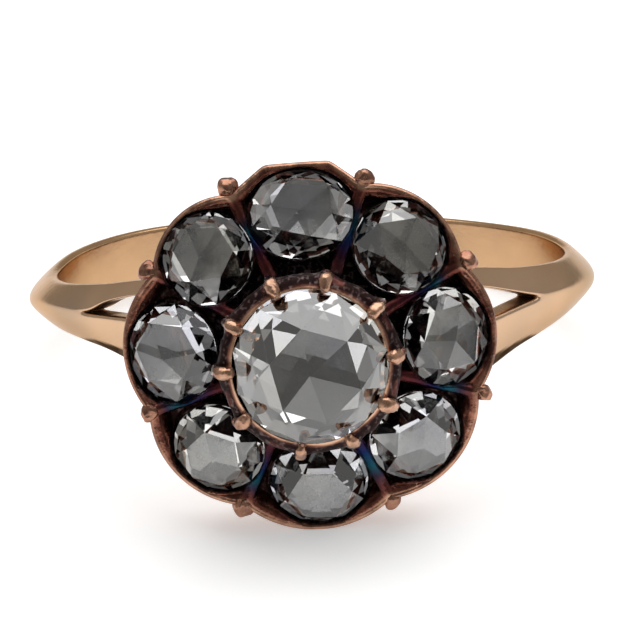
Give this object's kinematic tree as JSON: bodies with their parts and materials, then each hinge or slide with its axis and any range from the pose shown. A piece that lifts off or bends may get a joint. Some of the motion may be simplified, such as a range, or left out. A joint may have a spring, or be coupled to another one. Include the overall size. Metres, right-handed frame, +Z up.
{
  "type": "cluster ring",
  "caption": "Old gold finger ring with a split shank and a lobed closed-back head of rose-cut stones round a raised centre stone, lying on its side.",
  "frame": {"origin": "centre of the footprint of the ring lying on its side, on the surface that it rests on", "axes": "+X to the right seen from the head, +Y from the head to the back of the shank, +Z up"},
  "size_m": [0.0194, 0.0246, 0.0118],
  "materials": {
    "old_gold": "polished rose-coloured gold on the shank, dark with age on the head and worn bright on its rims, grains and claws",
    "rose_cut_stone": "clear, faintly grey, flat polished facets"
  },
  "bodies": {
    "root": {"ring_mount": "old_gold", "centre_stone": "rose_cut_stone", "outer_stone_1": "rose_cut_stone", "outer_stone_2": "rose_cut_stone", "outer_stone_3": "rose_cut_stone", "outer_stone_4": "rose_cut_stone", "outer_stone_5": "rose_cut_stone", "outer_stone_6": "rose_cut_stone", "outer_stone_7": "rose_cut_stone", "outer_stone_8": "rose_cut_stone"}
  },
  "joints": []
}
